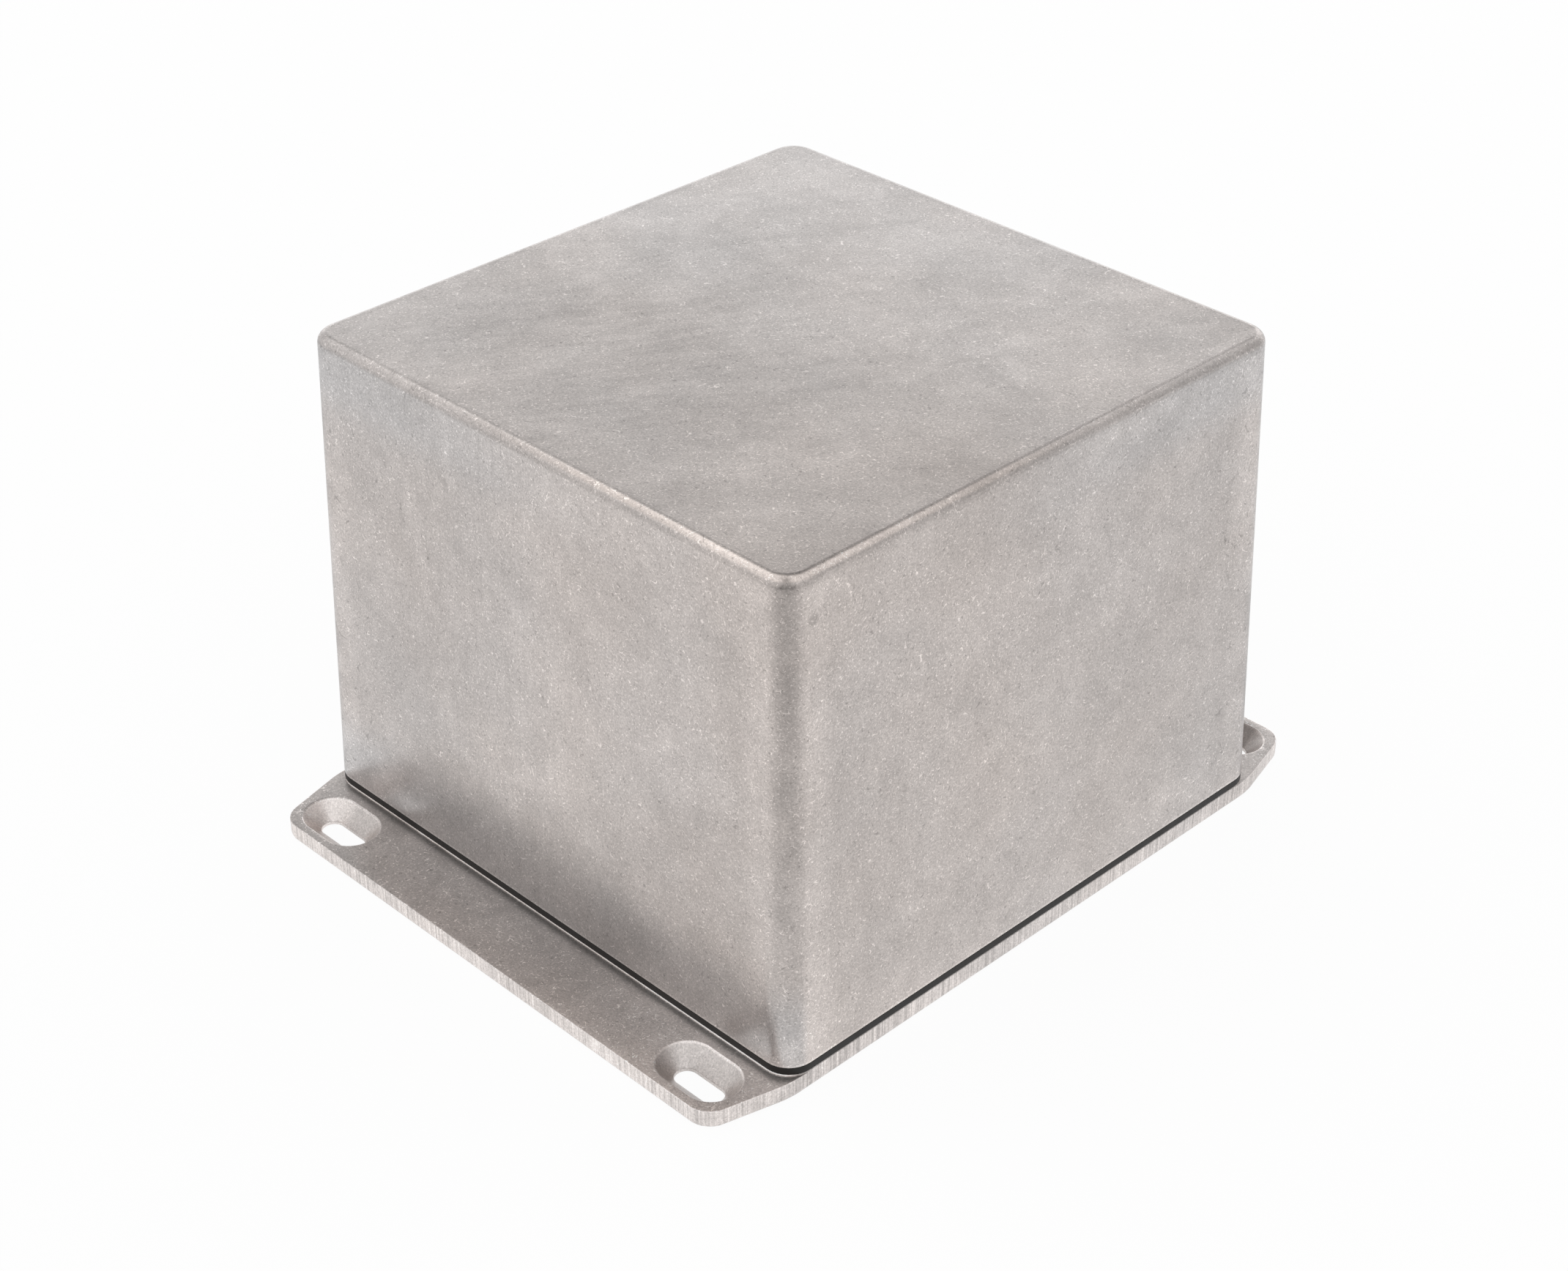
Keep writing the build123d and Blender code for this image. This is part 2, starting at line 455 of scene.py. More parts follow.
def mark_linished(bm):
    """Write 1 on the outer edge of the lid, which is all that stands upright so far below the pad."""
    linished = bm.verts.layers.float.new("linished")
    for face in bm.faces:
        if abs(face.normal.z) < 0.8 and face.calc_center_median().z < FLANGE_Z - EDGE_EASE:
            for vert in face.verts:
                vert[linished] = 1


# %% Lid
def open_flange(bm, side):
    """Open the top of one flange and return the edges round it."""
    tops = [face for face in bm.faces
            if lies_at(face, FLANGE_Z) and side * face.calc_center_median().y > 0]
    return open_face(bm, max(tops, key=lambda face: face.calc_area()))


def flanged_lid():
    """Lid with slotted flanges, a raised pad, screw holes and the lip that locates the body."""
    bm = bmesh.new()
    lid_block(bm)
    ease_lid_edges(bm)
    mark_linished(bm)
    underside_loops = [open_face(bm, flat_face(bm, 0.0))]
    pad_loops = [open_face(bm, flat_face(bm, PAD_Z))]
    flange_loops = {side: [open_flange(bm, side)] for side in (1, -1)}
    for side_x, side_y in CORNERS:
        mouth, throat = slot_walls(bm, (side_x * SLOT_X, side_y * SLOT_Y))
        hole, seat = screw_hole(bm, (side_x * SCREW_X, side_y * SCREW_Y))
        flange_loops[side_y].append(mouth)
        underside_loops += [throat, seat]
        pad_loops.append(hole)
    lip_outside = cavity_plan(bm, LIP_CLEARANCE, PAD_Z)
    lip_top = [open_face(bm, draw_up(bm, lip_outside, LIP_Z - PAD_Z))]
    pad_loops.append(open_face(bm, lip_outside))
    lip_inside = cavity_plan(bm, LIP_CLEARANCE + LIP_THICKNESS, PAD_Z)
    lip_top.append(open_face(bm, draw_up(bm, lip_inside, LIP_Z - PAD_Z)))
    for loops in (underside_loops, pad_loops, lip_top, flange_loops[1], flange_loops[-1]):
        fill(bm, loops)
    return bm


finish_piece(flanged_lid(), "lid_casting", "flanged_lid", lid_metal)

# %% [markdown]
# ## The gasket
#
# A gasket is punched from sheet rubber and squeezed between two castings, so its edge is a
# little rounded. The two thin shadows that this leaves, above and below it, are what the eye
# sees as a black line round the box.

# %% Gasket
GASKET_EASE = 0.15 * MM


def gasket():
    """Flat ring with the plan of the rim, pierced for the screws."""
    bm = bmesh.new()
    plan = rectangle_plan(bm, BODY_WIDTH, BODY_DEPTH, CORNER_RADIUS, PAD_Z)
    top = draw_up(bm, plan, RIM_Z - PAD_Z)
    round_edges(bm, list(plan.edges) + list(top.edges), GASKET_EASE, 3)
    levels = (PAD_Z, RIM_Z)
    loops = {z: [open_face(bm, flat_face(bm, z))] for z in levels}
    window = cavity_plan(bm, 0.0, PAD_Z)
    window_top = draw_up(bm, window, RIM_Z - PAD_Z)
    loops[PAD_Z].append(open_face(bm, window))
    loops[RIM_Z].append(open_face(bm, window_top))
    for side_x, side_y in CORNERS:
        centre = (side_x * SCREW_X, side_y * SCREW_Y)
        rings = tube(bm, centre, [(SCREW_HOLE_RADIUS, z) for z in levels])
        for z, one in zip(levels, rings):
            loops[z].append(one)
    for z in levels:
        fill(bm, loops[z])
    return bm


finish_piece(gasket(), "flat_gasket", "gasket", gasket_rubber)

# %% [markdown]
# ## The lid screws
#
# A turned part is a profile spun round its axis. The cross recess is a small plus-shaped plan
# drawn up into the head and tapered, and the thread is a small triangle that climbs as it spins.
# The thread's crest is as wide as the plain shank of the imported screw.

# %% Screws
CROSS_SPAN = 4.4 * MM
CROSS_WIDTH = 1.0 * MM
CROSS_DEPTH = 1.4 * MM
CROSS_TAPER = 0.55
SCREW_STEPS = 48
SCREW_EASE = 0.08 * MM
CORE_RADIUS = SHANK_RADIUS - THREAD_DEPTH
NECK_Z = HEAD_Z + HEAD_RIM + HEAD_RADIUS - SHANK_RADIUS
AROUND = {"cent": (0, 0, 0), "axis": (0, 0, 1)}


def chain(bm, points):
    """Edges that join points in order."""
    verts = [bm.verts.new(point) for point in points]
    return [bm.edges.new(pair) for pair in zip(verts, verts[1:])]


def turned_blank(bm):
    """Head, neck and core of a screw, open at the head. Returns the ring of edges there."""
    profile = [(HEAD_RADIUS - SCREW_EASE, HEAD_Z), (HEAD_RADIUS, HEAD_Z + SCREW_EASE),
               (HEAD_RADIUS, HEAD_Z + HEAD_RIM), (SHANK_RADIUS, NECK_Z), (SHANK_RADIUS, NECK_Z + SCREW_EASE),
               (CORE_RADIUS, NECK_Z + SCREW_EASE + THREAD_DEPTH), (CORE_RADIUS, TIP_Z - THREAD_DEPTH),
               (CORE_RADIUS - THREAD_DEPTH, TIP_Z)]
    outline = chain(bm, [(radius, 0, z) for radius, z in profile])
    bmesh.ops.spin(bm, geom=outline, angle=2 * math.pi, steps=SCREW_STEPS, use_merge=True, **AROUND)
    head_ring = [edge for edge in bm.edges if lies_at(edge, HEAD_Z)]
    tip_ring = [edge for edge in bm.edges if lies_at(edge, TIP_Z)]
    bmesh.ops.edgeloop_fill(bm, edges=tip_ring)
    return head_ring


def close_head(bm, head_ring):
    """Close the head with a flat face round a tapered cross recess."""
    cross = cross_plan(bm, CROSS_SPAN / 2, CROSS_SPAN / 2, (CROSS_SPAN - CROSS_WIDTH) / 2, HEAD_Z)
    recess = draw_up(bm, cross, CROSS_DEPTH)
    bmesh.ops.scale(bm, vec=(CROSS_TAPER, CROSS_TAPER, 1), verts=recess.verts)
    fill(bm, [head_ring, open_face(bm, cross)])
    bmesh.ops.recalc_face_normals(bm, faces=bm.faces)


def wind_thread(bm):
    """Thread round the core: one tooth that climbs as it spins, rooted a little way inside the core."""
    turns = math.floor((TIP_Z - NECK_Z) / THREAD_PITCH) - 2
    half_pitch = THREAD_PITCH / 2
    root = CORE_RADIUS - SCREW_EASE
    foot = NECK_Z + THREAD_PITCH
    tooth = [(root, foot), (SHANK_RADIUS, foot + half_pitch * 0.8),
             (SHANK_RADIUS, foot + half_pitch), (root, foot + 2 * half_pitch * 0.9)]
    tooth = bm.faces.new([bm.verts.new((radius, 0, z)) for radius, z in tooth])
    bmesh.ops.spin(bm, geom=[tooth], angle=turns * 2 * math.pi, steps=turns * SCREW_STEPS // 2,
                   dvec=(0, 0, THREAD_PITCH / SCREW_STEPS * 2), **AROUND)


def lid_screw(centre):
    """Countersunk screw that stands on its head, with a tapered cross recess and a thread."""
    bm = bmesh.new()
    close_head(bm, turned_blank(bm))
    wind_thread(bm)
    bmesh.ops.translate(bm, vec=(centre[0], centre[1], 0), verts=bm.verts)
    return bm


for number in range(1, 5):
    low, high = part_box(f"lid_screw_{number}")
    middle = ((low[0] + high[0]) / 2, (low[1] + high[1]) / 2)
    finish_piece(lid_screw(middle), f"countersunk_screw_{number}", f"lid_screw_{number}",
                 screw_metal)

# %% [markdown]
# ## Camera
#
# The camera stands where the photograph was taken from. Its place is given as an azimuth from
# the flange at the left, an elevation, a distance and a small roll, with a small slide across
# the view, because the object isn't in the middle of the frame.

# %% Camera
AZIMUTH = math.radians(45.705)
ELEVATION = math.radians(32.822)
ROLL = math.radians(-0.319)
DISTANCE = 499.552 * MM
SLIDE_RIGHT = -1.316 * MM
SLIDE_UP = -8.718 * MM
TARGET = Vector((0, 0, 45 * MM))
LENS = 64.729


def studio_camera():
    """Camera at the photograph's viewpoint."""
    across = Vector((math.sin(AZIMUTH), -math.cos(AZIMUTH), 0))
    back = across * math.cos(ELEVATION) + Vector((0, 0, math.sin(ELEVATION)))
    level = Vector((math.cos(AZIMUTH), math.sin(AZIMUTH), 0))
    upright = back.cross(level)
    right = level * math.cos(ROLL) + upright * math.sin(ROLL)
    up = upright * math.cos(ROLL) - level * math.sin(ROLL)
    place = TARGET + right * SLIDE_RIGHT + up * SLIDE_UP + back * DISTANCE
    data = bpy.data.cameras.new("studio_camera")
    data.lens = LENS
    data.sensor_width = 36
    data.sensor_fit = "HORIZONTAL"
    data.clip_start = 0.01
    data.clip_end = 20
    camera = bpy.data.objects.new("studio_camera", data)
    camera.matrix_world = Matrix.Translation(place) @ Matrix((right, up, back)).transposed().to_4x4()
    bpy.context.scene.collection.objects.link(camera)
    bpy.context.scene.camera = camera
    return camera


camera = studio_camera()
print("camera at", [round(value, 4) for value in camera.matrix_world.translation])

# %% [markdown]
# ## Small helpers for shader nodes
#
# A material or a light is a tree of nodes. Sums on values, ranges and noises are needed again
# and again, so each has a short helper that takes plain numbers or the sockets of other nodes.

# %% Node helpers
def feed(tree, socket, value):
    """Link a socket to another one, or set it to a constant."""
    if isinstance(value, bpy.types.NodeSocket):
        tree.links.new(value, socket)
    elif value is not None:
        socket.default_value = value


def add_node(tree, kind, inputs=(), **settings):
    """Outputs of a new node. Its settings are made first, and then its inputs, by name or number."""
    node = tree.nodes.new(kind)
    for name, value in settings.items():
        setattr(node, name, value)
    for key, value in dict(inputs).items():
        feed(tree, node.inputs[key], value)
    return node.outputs


def calculate(tree, operation, *values):
    """Result of a Math node."""
    return add_node(tree, "ShaderNodeMath", enumerate(values), operation=operation)[0]


def product(tree, factors):
    """Product of a list of values."""
    total = factors[0]
    for factor in factors[1:]:
        total = calculate(tree, "MULTIPLY", total, factor)
    return total


def ranged(tree, value, low, high, to_low=0.0, to_high=1.0, smooth=True):
    """A value carried from one range to another, with soft ends."""
    inputs = {"Value": value, "From Min": low, "From Max": high, "To Min": to_low, "To Max": to_high}
    curve = "SMOOTHSTEP" if smooth else "LINEAR"
    return add_node(tree, "ShaderNodeMapRange", inputs, interpolation_type=curve)["Result"]


def band(tree, value, start, full, fade, end):
    """1 between two values, and fading to 0 beyond them."""
    return product(tree, [ranged(tree, value, start, full), ranged(tree, value, fade, end, 1.0, 0.0)])


def turned(tree, vector, rotation, size):
    """A vector turned and then divided by a size on each axis."""
    inputs = {"Vector": vector, "Rotation": [math.radians(angle) for angle in rotation], "Scale": size}
    return add_node(tree, "ShaderNodeMapping", inputs, vector_type="TEXTURE")["Vector"]


def joined(tree, x, y, z):
    """A vector from three values."""
    return add_node(tree, "ShaderNodeCombineXYZ", enumerate((x, y, z)))["Vector"]


def noise(tree, vector, detail=3.0, roughness=0.55, distortion=0.0):
    """Noise with features about one unit apart."""
    inputs = {"Vector": vector, "Scale": 1.0, "Detail": detail, "Roughness": roughness,
              "Distortion": distortion}
    return add_node(tree, "ShaderNodeTexNoise", inputs)["Fac"]


def new_group(name, inputs, outputs):
    """A node group with the given inputs, and with outputs that are values.

    Returns its tree, and its inputs and outputs by name.
    """
    group = bpy.data.node_groups.new(name, "ShaderNodeTree")
    for label, value in inputs.items():
        kind = "NodeSocketFloat" if isinstance(value, float) else "NodeSocketVector"
        socket = group.interface.new_socket(name=label, in_out="INPUT", socket_type=kind)
        if value is not None:
            socket.default_value = value
    for label in outputs:
        group.interface.new_socket(name=label, in_out="OUTPUT", socket_type="NodeSocketFloat")
    entry, leave = group.nodes.new("NodeGroupInput"), group.nodes.new("NodeGroupOutput")
    return group, entry.outputs, leave.inputs


def use_group(tree, group, **values):
    """Place a group in a tree and return its outputs."""
    return add_node(tree, "ShaderNodeGroup", values, node_tree=group)


# %% [markdown]
# ## Floor
#
# Bare metal shows what is round it. Product photographs of metal are taken in a white tent, so
# the floor here is white in reflections and nearly white to the camera. To the camera it is
# partly lit by itself and partly by the room, which keeps a soft shadow under the object. In
# reflections it is dimmer on the photographer's side, where the tent is open. That dim part is
# what draws the soft dark stripe down the near corner.
#
# The floor lies a hair below the lid and is clear when it is seen from underneath, so that the
# underside with its screws can be looked at too.

# %% Directions round the object
def towards(azimuth, elevation):
    """Unit vector to a place round the object. Azimuth is counted from the camera, anticlockwise."""
    turn, rise = AZIMUTH + math.radians(azimuth), math.radians(elevation)
    return Vector((math.sin(turn) * math.cos(rise), -math.cos(turn) * math.cos(rise), math.sin(rise)))


def along_direction(tree, vector, direction):
    """How far a vector reaches along a direction."""
    inputs = enumerate((vector, direction))
    return add_node(tree, "ShaderNodeVectorMath", inputs, operation="DOT_PRODUCT")["Value"]


def distance(tree, vector, point):
    """Distance of a vector from a point."""
    return add_node(tree, "ShaderNodeVectorMath", enumerate((vector, point)), operation="DISTANCE")["Value"]


print("the camera looks along", [round(value, 2) for value in -towards(0, 32.8)])

# %% Floor
FLOOR_GLOW = 0.93
NEAR_CORNER_FOOT = (BODY_WIDTH / 2, -BODY_DEPTH / 2, 0)
DIM_HALF_ANGLE = 60
DIM_START, DIM_END, DIM_DEPTH = 30 * MM, 135 * MM, 0.33
FLOOR_GAP = 0.02 * MM
FLOOR_HALF_SIZE = 4
FLOOR_WHITE = (0.98, 0.98, 0.98, 1)


def dimmed_in_front(tree, place):
    """How much dimmer the floor is at a place. It is dimmest on the photographer's side."""
    from_foot = add_node(tree, "ShaderNodeVectorMath", enumerate((place, NEAR_CORNER_FOOT)),
                         operation="SUBTRACT")
    reach = distance(tree, place, NEAR_CORNER_FOOT)
    forwards = along_direction(tree, from_foot["Vector"], towards(0, 0))
    in_front = calculate(tree, "DIVIDE", forwards, reach)
    return product(tree, [ranged(tree, in_front, math.cos(math.radians(DIM_HALF_ANGLE)), 1.0),
                          ranged(tree, reach, DIM_START, DIM_END, 0.0, DIM_DEPTH, smooth=False)])


def mixed(tree, share, first, second):
    """One shader mixed with a share of another."""
    return add_node(tree, "ShaderNodeMixShader", enumerate((share, first, second)))[0]


def floor_material():
    """White paper that glows to the camera and in reflections, and is clear from underneath."""
    material = new_material("pale_floor")
    tree = material.node_tree
    tree.nodes.remove(tree.nodes["Principled BSDF"])
    paper = add_node(tree, "ShaderNodeBsdfDiffuse", {"Color": FLOOR_WHITE})[0]
    place = add_node(tree, "ShaderNodeTexCoord")["Object"]
    path = add_node(tree, "ShaderNodeLightPath")
    reflected = calculate(tree, "MAXIMUM", path["Is Glossy Ray"], path["Is Transmission Ray"])
    dim = calculate(tree, "MULTIPLY", dimmed_in_front(tree, place), reflected)
    glow = add_node(tree, "ShaderNodeEmission", {"Strength": calculate(tree, "SUBTRACT", 1.0, dim)})[0]
    seen = calculate(tree, "MULTIPLY", path["Is Camera Ray"], FLOOR_GLOW)
    from_above = mixed(tree, calculate(tree, "MAXIMUM", seen, reflected), paper, glow)
    backfacing = add_node(tree, "ShaderNodeNewGeometry")["Backfacing"]
    underneath = calculate(tree, "MULTIPLY", backfacing, path["Is Camera Ray"])
    surface = mixed(tree, underneath, from_above, add_node(tree, "ShaderNodeBsdfTransparent")[0])
    feed(tree, tree.nodes["Material Output"].inputs["Surface"], surface)
    return material


def studio_floor():
    """Large plain floor under the object."""
    bm = bmesh.new()
    grid = bmesh.ops.create_grid(bm, x_segments=1, y_segments=1, size=FLOOR_HALF_SIZE)["verts"]
    bmesh.ops.translate(bm, vec=(0, 0, -FLOOR_GAP), verts=grid)
    mesh = bpy.data.meshes.new("studio_floor")
    bm.to_mesh(mesh)
    bm.free()
    mesh.materials.append(floor_material())
    floor = bpy.data.objects.new("studio_floor", mesh)
    bpy.context.scene.collection.objects.link(floor)
    floor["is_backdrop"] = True
    return floor


floor = studio_floor()
print("floor:", [round(size, 2) for size in floor.dimensions], "m, glow", FLOOR_GLOW)

# %% [markdown]
# ## Light
#
# The room is a soft white tent. It is brightest low down behind the object, which makes the top
# of the box fade from light at the back to darker in front, and one soft light high at the left
# draws the bright line along the rounded edge there. Some parts of the cloth are a little
# dimmer, and those add less than nothing in the list. All of it is in the world, so there are
# no lamps to place and no hard shadows. To the camera the tent is plain white.

# %% The white tent
EVEN_LIGHT = 0.90
# Azimuth from the camera, elevation, half width and softness in degrees, and what it adds
SOFT_LIGHTS = {
    "behind": (180, 8, 24, 18, 0.52),
    "behind_at_the_right": (140, 14, 22, 16, 0.32),
    "high_at_the_left": (236, 52, 13, 9, 0.38),
    "low_at_the_left": (290, 12, 26, 18, 0.11),
    "beside_the_camera": (0, 35, 22, 16, 0.20),
    "dim_roof": (170, 50, 16, 14, -0.73),
    "dim_left_cloth": (215, 32, 14, 12, -0.22),
    "dim_right_cloth": (100, 10, 24, 18, -0.20),
}


def white_tent():
    """World of soft round lights over an even level."""
    world = bpy.data.worlds.new("white_tent")
    world.use_nodes = True
    tree = world.node_tree
    direction = add_node(tree, "ShaderNodeTexCoord")["Generated"]
    level = EVEN_LIGHT
    for azimuth, elevation, half_width, softness, strength in SOFT_LIGHTS.values():
        outer = math.cos(math.radians(half_width + softness))
        inner = math.cos(math.radians(half_width - softness))
        facing = along_direction(tree, direction, towards(azimuth, elevation))
        level = calculate(tree, "ADD", ranged(tree, facing, outer, inner, 0.0, strength), level)
    path = add_node(tree, "ShaderNodeLightPath")
    seen = calculate(tree, "MAXIMUM", path["Is Camera Ray"], path["Is Transmission Ray"])
    missing = calculate(tree, "SUBTRACT", 1.0, level)
    level = calculate(tree, "MULTIPLY_ADD", seen, missing, level)
    feed(tree, tree.nodes["Background"].inputs["Strength"], level)
    tree.nodes["Background"].inputs["Color"].default_value = (1, 1, 1, 1)
    bpy.context.scene.world = world
    bpy.context.scene.view_settings.view_transform = "Standard"


white_tent()
print("soft lights:", list(SOFT_LIGHTS))

# %% [markdown]
# ## What tumbling does to a casting
#
# After casting, the parts are tumbled with small stones. That takes off the burrs and leaves a
# satin grey skin with cloudy patches, a fine grain, and thousands of short curved nicks that
# point every way. Each of these is a node group with sizes in metres, so that each metal part
# can use it at its own strength. Most of them give a shade: a factor close to 1 for the colour.

# %% Shades from noise
def shade(tree, value, contrast):
    """A noise value near 0.5 as a factor near 1."""
    return calculate(tree, "MULTIPLY_ADD", calculate(tree, "SUBTRACT", value, 0.5),
                     calculate(tree, "MULTIPLY", contrast, 4.0), 1.0)


def even_size(tree, size):
    """The same size on all three axes."""
    return joined(tree, size, size, size)


def cloudy_patches():
    """Large soft patches: a shade, and how warm the metal looks from 0 to 1."""
    group, given, result = new_group("cloudy_patches", {"Vector": None, "Size": 0.02, "Contrast": 0.08},
                                     ["Shade", "Warmth"])
    place = turned(group, given["Vector"], (20, 35, 25), even_size(group, given["Size"]))
    clouds = noise(group, place, detail=4.0, roughness=0.6, distortion=0.7)
    feed(group, result["Shade"], shade(group, clouds, given["Contrast"]))
    tints = noise(group, turned(group, place, (70, 10, 50), (1.3, 1.3, 1.3)), detail=2.0)
    feed(group, result["Warmth"], ranged(group, tints, 0.25, 0.75, smooth=False))
    return group


def fine_grain():
    """Fine sandy grain as a shade."""
    group, given, result = new_group("fine_grain", {"Vector": None, "Size": 0.0003, "Contrast": 0.05},
                                     ["Shade"])
    place = turned(group, given["Vector"], (15, 40, 70), even_size(group, given["Size"]))
    grain = noise(group, place, detail=2.0, roughness=0.8)
    feed(group, result["Shade"], shade(group, grain, given["Contrast"]))
    return group


def long_marks():
    """Marks that run along Z of the given vector, as a shade."""
    group, given, result = new_group("long_marks", {"Vector": None, "Width": 0.0006, "Length": 0.02,
                                                    "Contrast": 0.05}, ["Shade"])
    stretch = joined(group, given["Width"], given["Width"], given["Length"])
    lines = noise(group, turned(group, given["Vector"], (0, 0, 0), stretch), detail=2.0, roughness=0.6)
    feed(group, result["Shade"], shade(group, lines, given["Contrast"]))
    return group


PATCHES, GRAIN, MARKS = cloudy_patches(), fine_grain(), long_marks()
print("groups:", PATCHES.name, GRAIN.name, MARKS.name)

# %% [markdown]
# ## Nicks
#
# The edge of a tumbling stone leaves a short bright arc like an eyelash. Where a soft noise
# passes through its middle value it draws long thin curves, like the contour lines of a map.
# A second noise keeps only short pieces of them.

# %% Curved nicks
def curved_nicks():
    """Short curved nicks, as a mask. A piece of a line is kept where the second noise is above the cut."""
    group, given, result = new_group("curved_nicks", {"Vector": None, "Size": 0.0016, "Width": 0.03,
                                                      "Cut": 0.6}, ["Mask"])
    place = turned(group, given["Vector"], (25, 50, 15), even_size(group, given["Size"]))
    lines = noise(group, place, detail=0.0)
    off_line = calculate(group, "ABSOLUTE", calculate(group, "SUBTRACT", lines, 0.5))
    core = calculate(group, "MULTIPLY", given["Width"], 0.3)
    thin = ranged(group, off_line, core, given["Width"], 1.0, 0.0)
    pieces = noise(group, turned(group, place, (60, 20, 80), (0.55, 0.55, 0.55)), detail=0.0)
    kept = ranged(group, pieces, given["Cut"], calculate(group, "ADD", given["Cut"], 0.05))
    feed(group, result["Mask"], calculate(group, "MULTIPLY", thin, kept))
    return group


NICKS = curved_nicks()
print("group:", NICKS.name)

# %% [markdown]
# ## Cast metal
#
# Both castings share this skin. The colour of bare aluminium is a light warm grey, and where
# the tumbling dirt stays on it, it is a little darker and browner. Shades multiply the colour,
# because dirt and nicks change how much a metal reflects. Only the grain feeds the bump: arcs as
# short and thin as the nicks come out crisper as colour.
#
# The skin is kept fairly rough. A denoiser knows the colour of a rough surface before it starts
# and keeps its detail, but on a near mirror it would smooth the grain away.

# %% Colours and sizes of the skin
COOL_METAL = (0.506, 0.490, 0.487, 1)
WARM_METAL = (0.547, 0.490, 0.458, 1)
PATCH_SIZE, MOTTLE_SIZE, GRAIN_SIZE = mm(27, 5, 0.36)
PATCH_CONTRAST, GRAIN_CONTRAST = 0.11, 0.26
# Turn in degrees, size, line width and cut of each layer of nicks
BRIGHT_NICKS = ((0, 0, 0), 1.4 * MM, 0.026, 0.60)
SMALL_NICKS = ((50, 10, 120), 0.7 * MM, 0.045, 0.595)
DULL_NICKS = ((120, 60, 30), 1.2 * MM, 0.040, 0.62)
DULL_NICK_CHANGE = -0.28
NICKS_LOST_WHERE_DULL = -0.75
ROUGHNESS_IN_DARK_PATCHES, ROUGHNESS_IN_LIGHT_PATCHES, ROUGHER_WHERE_DULL = 0.34, 0.285, 0.08
GRAIN_BUMP, GRAIN_DEPTH = 0.25, 0.03 * MM
print("metal:", COOL_METAL[:3], "to", WARM_METAL[:3])


# %% Shades and surfaces
def worn_or_painted_light(tree, mask, change):
    """A shade that changes the colour by a share where the mask is 1."""
    return calculate(tree, "MULTIPLY_ADD", mask, change, 1.0)


def nick_mask(tree, place, turn, size, width, cut):
    """Mask of one layer of nicks, turned so that layers don't repeat each other."""
    place = turned(tree, place, turn, (1, 1, 1))
    return use_group(tree, NICKS, Vector=place, Size=size, Width=width, Cut=cut)["Mask"]


def object_place(tree):
    """Where a point is on the piece, as a vector and as three separate values."""
    place = add_node(tree, "ShaderNodeTexCoord")["Object"]
    return place, add_node(tree, "ShaderNodeSeparateXYZ", {0: place})


def set_surface(tree, base_colour, shades, roughness, height, bump_strength, bump_depth):
    """Feed a material's shader, and return it: a base colour times its shades, roughness and a bump."""
    scaled = {0: base_colour, "Scale": product(tree, shades)}
    colour = add_node(tree, "ShaderNodeVectorMath", scaled, operation="SCALE")
    relief = {"Strength": bump_strength, "Distance": bump_depth, "Height": height}
    bump = add_node(tree, "ShaderNodeBump", relief)
    shader = tree.nodes["Principled BSDF"]
    feed(tree, shader.inputs["Base Color"], colour["Vector"])
    feed(tree, shader.inputs["Roughness"], roughness)
    feed(tree, shader.inputs["Normal"], bump["Normal"])
    return shader


# %% The skin itself
def cast_metal(tree, place, own_shades, mottle, nick_brightness, duller, warmth):
    """Tumbled metal: patches, grain and nicks, times the casting's own shades.

    Mottle is the contrast of the small patches. Where duller is 1 there are few nicks and the
    skin is rougher. Warmth goes from 0, cool, to about 0.7.
    """
    patches = use_group(tree, PATCHES, Vector=place, Size=PATCH_SIZE, Contrast=PATCH_CONTRAST)
    small_patches = use_group(tree, PATCHES, Vector=place, Size=MOTTLE_SIZE, Contrast=mottle)["Shade"]
    grain = use_group(tree, GRAIN, Vector=place, Size=GRAIN_SIZE, Contrast=GRAIN_CONTRAST)["Shade"]
    tumbled = calculate(tree, "MULTIPLY_ADD", duller, NICKS_LOST_WHERE_DULL, 1.0)
    layers = (BRIGHT_NICKS, SMALL_NICKS, DULL_NICKS)
    bright, small, dull = (nick_mask(tree, place, *layer) for layer in layers)
    light_nicks = calculate(tree, "MULTIPLY", calculate(tree, "MAXIMUM", bright, small), tumbled)
    dark_nicks = calculate(tree, "MULTIPLY", dull, tumbled)
    tint = {"Factor": calculate(tree, "MULTIPLY_ADD", patches["Warmth"], 0.3, warmth),
            "A": COOL_METAL, "B": WARM_METAL}
    metal = add_node(tree, "ShaderNodeMix", tint, data_type="RGBA")["Result"]
    shades = [patches["Shade"], small_patches, grain, worn_or_painted_light(tree, light_nicks, nick_brightness),
              worn_or_painted_light(tree, dark_nicks, DULL_NICK_CHANGE)] + own_shades
    gloss = ranged(tree, patches["Shade"], 0.85, 1.15, ROUGHNESS_IN_DARK_PATCHES, ROUGHNESS_IN_LIGHT_PATCHES,
                   smooth=False)
    roughness = calculate(tree, "MULTIPLY_ADD", duller, ROUGHER_WHERE_DULL, gloss)
    shader = set_surface(tree, metal, shades, roughness, grain, GRAIN_BUMP, GRAIN_DEPTH)
    shader.inputs["Metallic"].default_value = 1.0


print("nicks of", [round(layer[1] / MM, 2) for layer in (BRIGHT_NICKS, SMALL_NICKS, DULL_NICKS)], "mm")
